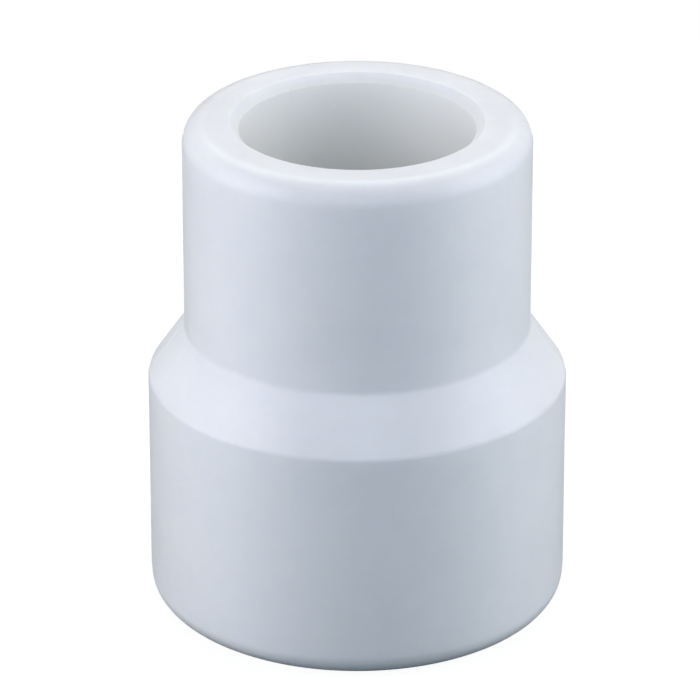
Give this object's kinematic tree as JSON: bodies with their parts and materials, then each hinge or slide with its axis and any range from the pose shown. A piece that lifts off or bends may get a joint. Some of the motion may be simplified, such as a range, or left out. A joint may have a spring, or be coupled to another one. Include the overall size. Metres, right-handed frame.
{
  "type": "socket-fusion reducing socket",
  "caption": "One-piece moulded plastic pipe reducer: a small socket above a conical shoulder and a larger socket, all on one axis.",
  "frame": {"origin": "on the axis, in the plane of the large mouth's rim, which the fitting stands on", "axes": "+Z along the shared axis of both sockets, from the large mouth to the small mouth; the body is round, so X and Y are free"},
  "size_m": [0.0342, 0.0342, 0.042],
  "materials": {
    "moulded_polypropylene": "satin"
  },
  "bodies": {
    "root": {"reducer_body": "moulded_polypropylene"}
  },
  "joints": []
}
